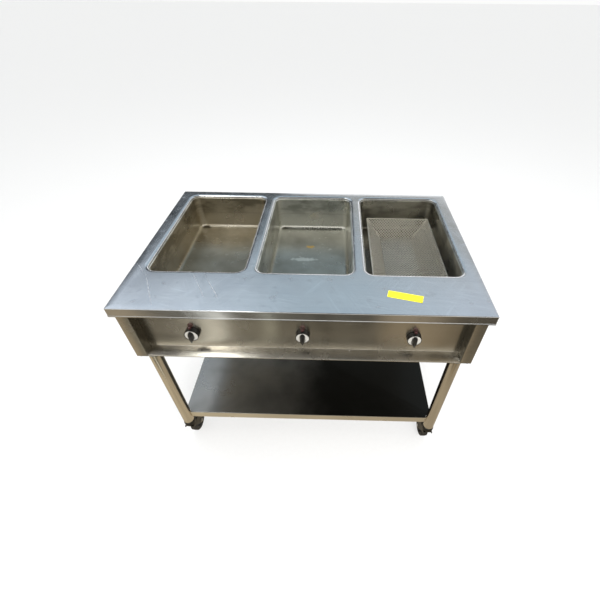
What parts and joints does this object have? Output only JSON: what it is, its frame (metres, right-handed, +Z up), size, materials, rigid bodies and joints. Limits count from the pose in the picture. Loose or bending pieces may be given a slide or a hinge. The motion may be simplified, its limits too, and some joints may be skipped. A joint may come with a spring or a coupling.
{
  "type": "steam table unit",
  "caption": "Electric steam table with rectangular wells in a one-piece worktop, recessed knob panel, tube legs, undershelf and swivel casters.",
  "frame": {"origin": "on the floor under the centre of the worktop", "axes": "+X along the row of wells to the operator's right, +Y from the operator's side to the back, +Z up"},
  "size_m": [1.118, 0.748, 0.796],
  "materials": {
    "worktop_steel": "brushed, scratched by use",
    "body_steel": "brushed along the length",
    "liner_steel": "drawn, satin, water stained",
    "galvanised": "bare zinc coated sheet",
    "insulation": "mineral wool felt",
    "element_sheath": "heat darkened sheath",
    "control_plastic": "black moulded phenolic",
    "knob_plastic": "black with a bright face",
    "shaft_brass": "turned",
    "pilot_lens": "dark red lens",
    "gland_nylon": "black nylon",
    "loom_sleeve": "woven sleeve",
    "leg_steel": "polished tube",
    "caster_zinc": "zinc plate darkened by use",
    "stem_insert": "black insert",
    "wheel_rubber": "black rubber",
    "axle_zinc": "zinc plated",
    "basket_steel": "woven wire"
  },
  "bodies": {
    "cabinet": {"worktop": "worktop_steel", "side_panel_left": "body_steel", "side_panel_right": "body_steel", "control_panel": "body_steel", "back_panel": "galvanised", "bottom_pan": "galvanised", "well_liner_left": "liner_steel", "well_jacket_left": "insulation", "heating_element_left": "element_sheath", "element_tray_left": "galvanised", "well_liner_centre": "liner_steel", "well_jacket_centre": "insulation", "heating_element_centre": "element_sheath", "element_tray_centre": "galvanised", "well_liner_right": "liner_steel", "well_jacket_right": "insulation", "heating_element_right": "element_sheath", "element_tray_right": "galvanised", "thermostat_left": "control_plastic", "pilot_light_left": "pilot_lens", "thermostat_centre": "control_plastic", "pilot_light_centre": "pilot_lens", "thermostat_right": "control_plastic", "pilot_light_right": "pilot_lens", "terminal_block": "control_plastic", "cord_gland": "gland_nylon", "wire_loom": "loom_sleeve", "leg_front_left": "leg_steel", "leg_gusset_front_left": "galvanised", "leg_front_right": "leg_steel", "leg_gusset_front_right": "galvanised", "leg_rear_left": "leg_steel", "leg_gusset_rear_left": "galvanised", "leg_rear_right": "leg_steel", "leg_gusset_rear_right": "galvanised", "undershelf": "body_steel", "caster_stem_front_left": "stem_insert", "caster_stem_front_right": "stem_insert", "caster_stem_rear_left": "stem_insert", "caster_stem_rear_right": "stem_insert"},
    "knob_left": {"knob_left": "knob_plastic", "control_shaft_left": "shaft_brass"},
    "knob_centre": {"knob_centre": "knob_plastic", "control_shaft_centre": "shaft_brass"},
    "knob_right": {"knob_right": "knob_plastic", "control_shaft_right": "shaft_brass"},
    "caster_front_left": {"caster_fork_front_left": "caster_zinc", "caster_axle_front_left": "axle_zinc"},
    "wheel_front_left": {"caster_wheel_front_left": "wheel_rubber"},
    "caster_front_right": {"caster_fork_front_right": "caster_zinc", "caster_axle_front_right": "axle_zinc"},
    "wheel_front_right": {"caster_wheel_front_right": "wheel_rubber"},
    "caster_rear_left": {"caster_fork_rear_left": "caster_zinc", "caster_axle_rear_left": "axle_zinc"},
    "wheel_rear_left": {"caster_wheel_rear_left": "wheel_rubber"},
    "caster_rear_right": {"caster_fork_rear_right": "caster_zinc", "caster_axle_rear_right": "axle_zinc"},
    "wheel_rear_right": {"caster_wheel_rear_right": "wheel_rubber"},
    "basket": {"mesh_basket": "basket_steel"}
  },
  "joints": [
    {"name": "knob_turn_left", "type": "hinge", "parent": "cabinet", "child": "knob_left", "pos_m": [-0.347, -0.3352, 0.666], "axis": [0, 1, 0], "range_deg": [0, 300]},
    {"name": "knob_turn_centre", "type": "hinge", "parent": "cabinet", "child": "knob_centre", "pos_m": [0, -0.3352, 0.666], "axis": [0, 1, 0], "range_deg": [0, 300]},
    {"name": "knob_turn_right", "type": "hinge", "parent": "cabinet", "child": "knob_right", "pos_m": [0.347, -0.3352, 0.666], "axis": [0, 1, 0], "range_deg": [0, 300]},
    {"name": "swivel_front_left", "type": "hinge", "parent": "cabinet", "child": "caster_front_left", "pos_m": [-0.503, -0.3362, 0.11], "axis": [0, 0, 1], "continuous": true},
    {"name": "swivel_front_right", "type": "hinge", "parent": "cabinet", "child": "caster_front_right", "pos_m": [0.503, -0.3362, 0.11], "axis": [0, 0, 1], "continuous": true},
    {"name": "swivel_rear_left", "type": "hinge", "parent": "cabinet", "child": "caster_rear_left", "pos_m": [-0.503, 0.326, 0.11], "axis": [0, 0, 1], "continuous": true},
    {"name": "swivel_rear_right", "type": "hinge", "parent": "cabinet", "child": "caster_rear_right", "pos_m": [0.503, 0.326, 0.11], "axis": [0, 0, 1], "continuous": true},
    {"name": "roll_front_left", "type": "hinge", "parent": "caster_front_left", "child": "wheel_front_left", "pos_m": [-0.5, -0.2933, 0.044], "axis": [0.9976, -0.0698, 0], "continuous": true},
    {"name": "roll_front_right", "type": "hinge", "parent": "caster_front_right", "child": "wheel_front_right", "pos_m": [0.50075, -0.29326, 0.044], "axis": [0.9986, 0.0523, 0], "continuous": true},
    {"name": "roll_rear_left", "type": "hinge", "parent": "caster_rear_left", "child": "wheel_rear_left", "pos_m": [-0.48689, 0.28613, 0.044], "axis": [-0.9272, -0.3746, 0], "continuous": true},
    {"name": "roll_rear_right", "type": "hinge", "parent": "caster_rear_right", "child": "wheel_rear_right", "pos_m": [0.4926, 0.28428, 0.044], "axis": [-0.9703, 0.2419, 0], "continuous": true},
    {"name": "basket_lift", "type": "slide", "parent": "cabinet", "child": "basket", "axis": [0, 0, 1], "range_m": [0, 0.2]}
  ]
}
